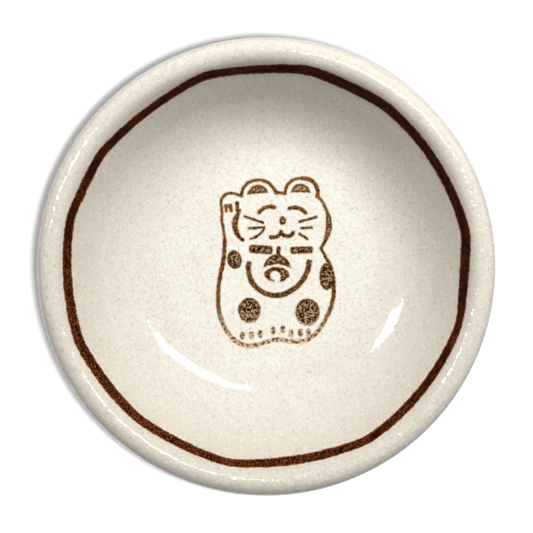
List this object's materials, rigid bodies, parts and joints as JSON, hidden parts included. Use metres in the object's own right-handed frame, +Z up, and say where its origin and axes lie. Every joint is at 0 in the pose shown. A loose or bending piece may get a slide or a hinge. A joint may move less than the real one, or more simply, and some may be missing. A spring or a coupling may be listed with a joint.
{
  "type": "soy sauce dish",
  "caption": "Shallow round glazed stoneware dish on a foot ring, with a rounded lip, a brushed line inside it and a beckoning cat printed in the well, for dipping sauce.",
  "frame": {"origin": "on the table, at the centre of the standing face of the foot ring", "axes": "+Z up along the axis the dish was turned on, +Y towards the ears of the printed cat, +X to the right of a viewer who sees the cat upright"},
  "size_m": [0.092, 0.092, 0.023],
  "materials": {
    "stoneware": "bare, fine-grained",
    "cream_glaze": "glossy, finely speckled",
    "iron_line": "glossy, brushed, mottled",
    "print_pigment": "glossy, grainy print"
  },
  "bodies": {
    "root": {"stoneware_body": "stoneware", "glaze_coat": "cream_glaze", "foot_well_glaze": "cream_glaze", "rim_line": "iron_line", "cat_outline": "print_pigment", "cat_inner_ears": "print_pigment", "cat_eyes": "print_pigment", "cat_nose": "print_pigment", "cat_mouth": "print_pigment", "cat_whiskers": "print_pigment", "cat_fingers": "print_pigment", "cat_forearm": "print_pigment", "cat_collar": "print_pigment", "cat_bell": "print_pigment", "cat_bib": "print_pigment", "cat_spots": "print_pigment", "cat_toes": "print_pigment"}
  },
  "joints": []
}
